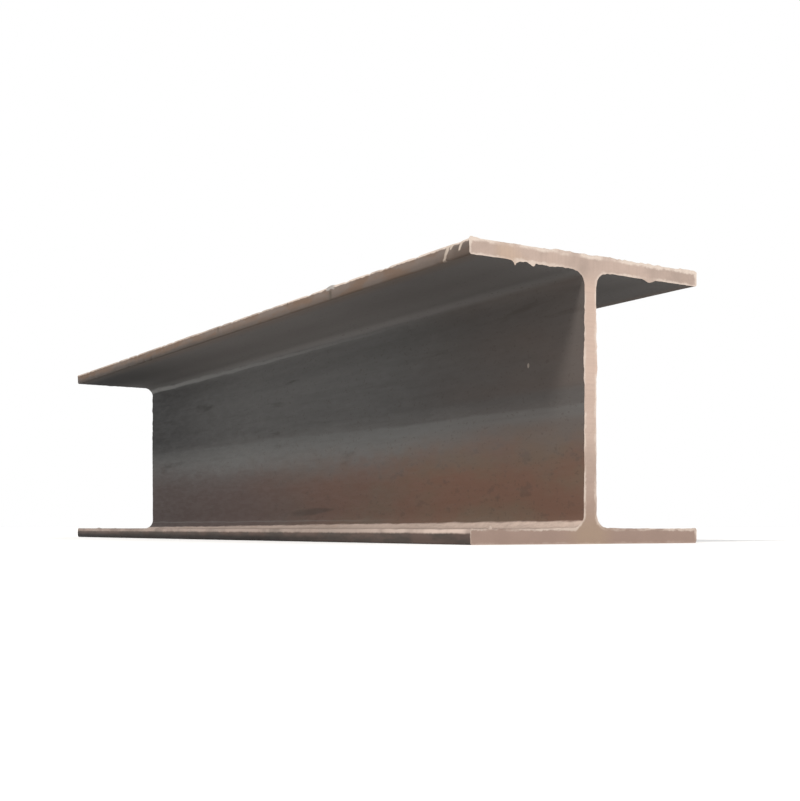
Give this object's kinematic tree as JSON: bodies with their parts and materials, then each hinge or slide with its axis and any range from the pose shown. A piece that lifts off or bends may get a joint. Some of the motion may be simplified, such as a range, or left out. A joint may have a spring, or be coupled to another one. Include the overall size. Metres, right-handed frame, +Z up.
{
  "type": "steel h-beam",
  "caption": "Hot-rolled wide-flange steel beam: a short square-cut length of H-section stock with rust, mill scale and rough cut ends, for framing, columns and yard scenes",
  "frame": {"origin": "middle of the bottom flange's underside, half way along the beam", "axes": "+X along the beam's length towards the cut end that shows its section; +Y across the flanges; +Z up through the web to the top flange"},
  "size_m": [1.68, 0.408, 0.4],
  "materials": {
    "weathered_steel": "uncoated hot-rolled mill scale with patchy rust, matt"
  },
  "bodies": {
    "root": {"h_beam": "weathered_steel"}
  },
  "joints": []
}
